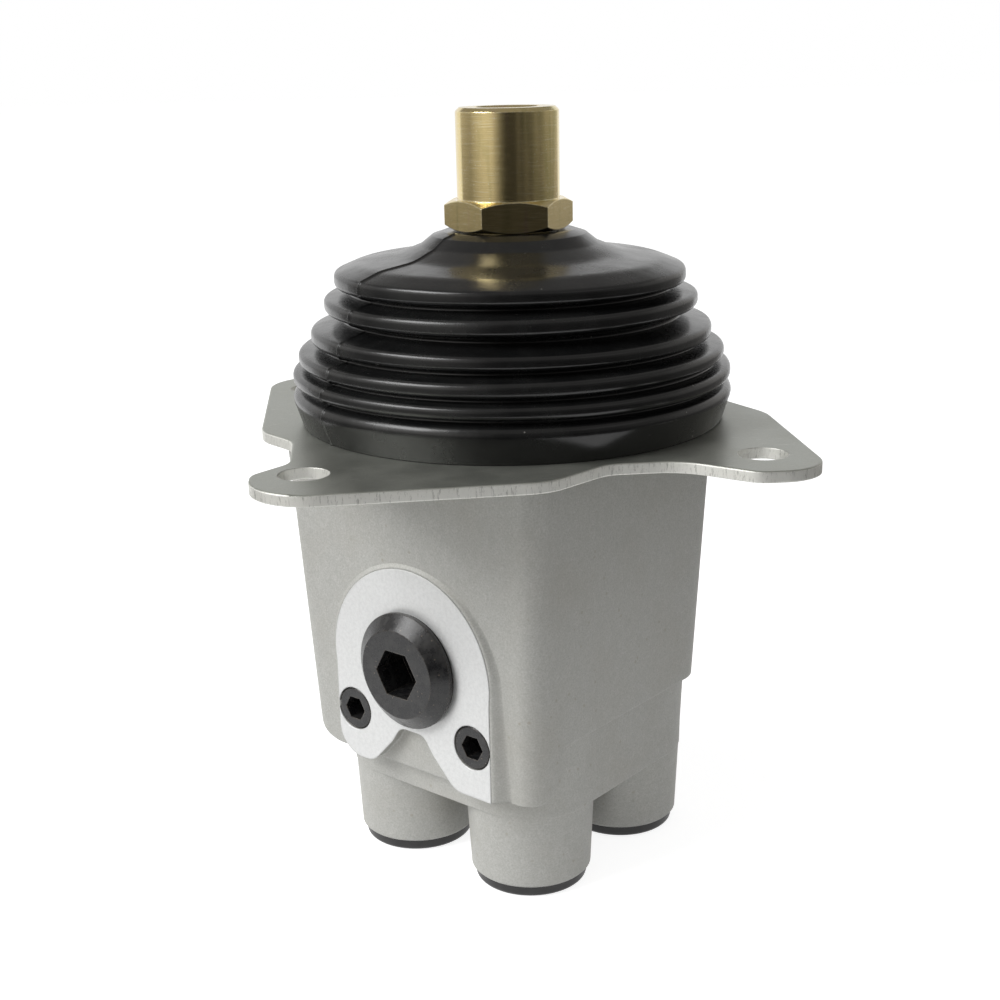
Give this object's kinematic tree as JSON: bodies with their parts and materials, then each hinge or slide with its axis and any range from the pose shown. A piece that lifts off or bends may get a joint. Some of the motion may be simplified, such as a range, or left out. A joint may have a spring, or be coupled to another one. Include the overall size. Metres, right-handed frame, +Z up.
{
  "type": "hydraulic pilot joystick valve",
  "caption": "Two-axis hydraulic pilot valve: tapered cast body with port legs, mounting plate, ribbed rubber boot and a hexagonal handle adapter.",
  "frame": {"origin": "centre of the four mounting holes, on the underside of the mounting plate", "axes": "+Z up through the plate to the handle adapter, -Y to the operator's front, +X to the right; the lever axis stands at y = +5 mm"},
  "size_m": [0.1107, 0.1091, 0.1659],
  "materials": {
    "casting": "satin cast, fine grain",
    "plate_steel": "satin, sheared edges",
    "zinc_yellow": "yellow zinc plate, iridescent",
    "black_steel": "black oxide",
    "boot_rubber": "satin moulded rubber",
    "seal_rubber": "matt",
    "black_plastic": "matt",
    "ground_steel": "ground and polished",
    "spring_steel": "drawn wire",
    "bushing_brass": "turned"
  },
  "bodies": {
    "housing": {"casting_body": "casting", "mounting_plate": "plate_steel", "plate_screws": "black_steel", "joint_base": "ground_steel", "front_port_plug": "black_steel", "port_plug_seal": "seal_rubber", "left_gallery_plug": "black_steel", "right_gallery_plug": "black_steel", "supply_port_cap": "black_plastic", "return_port_cap": "black_plastic", "boot": "boot_rubber", "front_bushing": "bushing_brass", "front_bushing_ring": "seal_rubber", "front_pusher_seal": "seal_rubber", "front_return_spring": "spring_steel", "front_port_cap": "black_plastic", "right_bushing": "bushing_brass", "right_bushing_ring": "seal_rubber", "right_pusher_seal": "seal_rubber", "right_return_spring": "spring_steel", "right_port_cap": "black_plastic", "back_bushing": "bushing_brass", "back_bushing_ring": "seal_rubber", "back_pusher_seal": "seal_rubber", "back_return_spring": "spring_steel", "back_port_cap": "black_plastic", "left_bushing": "bushing_brass", "left_bushing_ring": "seal_rubber", "left_pusher_seal": "seal_rubber", "left_return_spring": "spring_steel", "left_port_cap": "black_plastic"},
    "cross": {"lower_pivot_pins": "ground_steel", "cross_block": "ground_steel", "upper_pivot_pins": "ground_steel"},
    "lever": {"upper_yoke": "ground_steel", "swash_plate": "ground_steel", "lock_nut": "zinc_yellow", "handle_adapter": "zinc_yellow"},
    "front_push": {"front_pusher": "ground_steel", "front_spring_seat": "ground_steel"},
    "front_meter": {"front_spool": "ground_steel", "front_balance_spring": "spring_steel"},
    "right_push": {"right_pusher": "ground_steel", "right_spring_seat": "ground_steel"},
    "right_meter": {"right_spool": "ground_steel", "right_balance_spring": "spring_steel"},
    "back_push": {"back_pusher": "ground_steel", "back_spring_seat": "ground_steel"},
    "back_meter": {"back_spool": "ground_steel", "back_balance_spring": "spring_steel"},
    "left_push": {"left_pusher": "ground_steel", "left_spring_seat": "ground_steel"},
    "left_meter": {"left_spool": "ground_steel", "left_balance_spring": "spring_steel"}
  },
  "joints": [
    {"name": "tilt_fore_aft", "type": "hinge", "parent": "housing", "child": "cross", "pos_m": [0, 0.005, 0.012], "axis": [1, 0, 0], "range_deg": [-16, 16], "stiffness_Nm_per_rad": 4, "deforming": ["boot"]},
    {"name": "tilt_side", "type": "hinge", "parent": "cross", "child": "lever", "pos_m": [0, 0.005, 0.012], "axis": [0, 1, 0], "range_deg": [-16, 16], "stiffness_Nm_per_rad": 4, "deforming": ["boot"]},
    {"name": "front_push_slide", "type": "slide", "parent": "housing", "child": "front_push", "axis": [0, 0, -1], "range_m": [-0.0072, 0.0072], "deforming": ["front_return_spring", "front_balance_spring"]},
    {"name": "front_meter_slide", "type": "slide", "parent": "housing", "child": "front_meter", "axis": [0, 0, -1], "range_m": [-0.002, 0.002]},
    {"name": "right_push_slide", "type": "slide", "parent": "housing", "child": "right_push", "axis": [0, 0, -1], "range_m": [-0.0072, 0.0072], "deforming": ["right_return_spring", "right_balance_spring"]},
    {"name": "right_meter_slide", "type": "slide", "parent": "housing", "child": "right_meter", "axis": [0, 0, -1], "range_m": [-0.002, 0.002]},
    {"name": "back_push_slide", "type": "slide", "parent": "housing", "child": "back_push", "axis": [0, 0, -1], "range_m": [-0.0072, 0.0072], "deforming": ["back_return_spring", "back_balance_spring"]},
    {"name": "back_meter_slide", "type": "slide", "parent": "housing", "child": "back_meter", "axis": [0, 0, -1], "range_m": [-0.002, 0.002]},
    {"name": "left_push_slide", "type": "slide", "parent": "housing", "child": "left_push", "axis": [0, 0, -1], "range_m": [-0.0072, 0.0072], "deforming": ["left_return_spring", "left_balance_spring"]},
    {"name": "left_meter_slide", "type": "slide", "parent": "housing", "child": "left_meter", "axis": [0, 0, -1], "range_m": [-0.002, 0.002]}
  ],
  "couplings": [
    {"joint": "front_push_slide", "follows": "tilt_fore_aft", "m_per_rad": 0.02464},
    {"joint": "front_meter_slide", "follows": "tilt_fore_aft", "m_per_rad": 0.00645},
    {"joint": "right_push_slide", "follows": "tilt_side", "m_per_rad": 0.02525},
    {"joint": "right_meter_slide", "follows": "tilt_side", "m_per_rad": 0.00645},
    {"joint": "back_push_slide", "follows": "tilt_fore_aft", "m_per_rad": -0.02464},
    {"joint": "back_meter_slide", "follows": "tilt_fore_aft", "m_per_rad": -0.00645},
    {"joint": "left_push_slide", "follows": "tilt_side", "m_per_rad": -0.02525},
    {"joint": "left_meter_slide", "follows": "tilt_side", "m_per_rad": -0.00645}
  ]
}
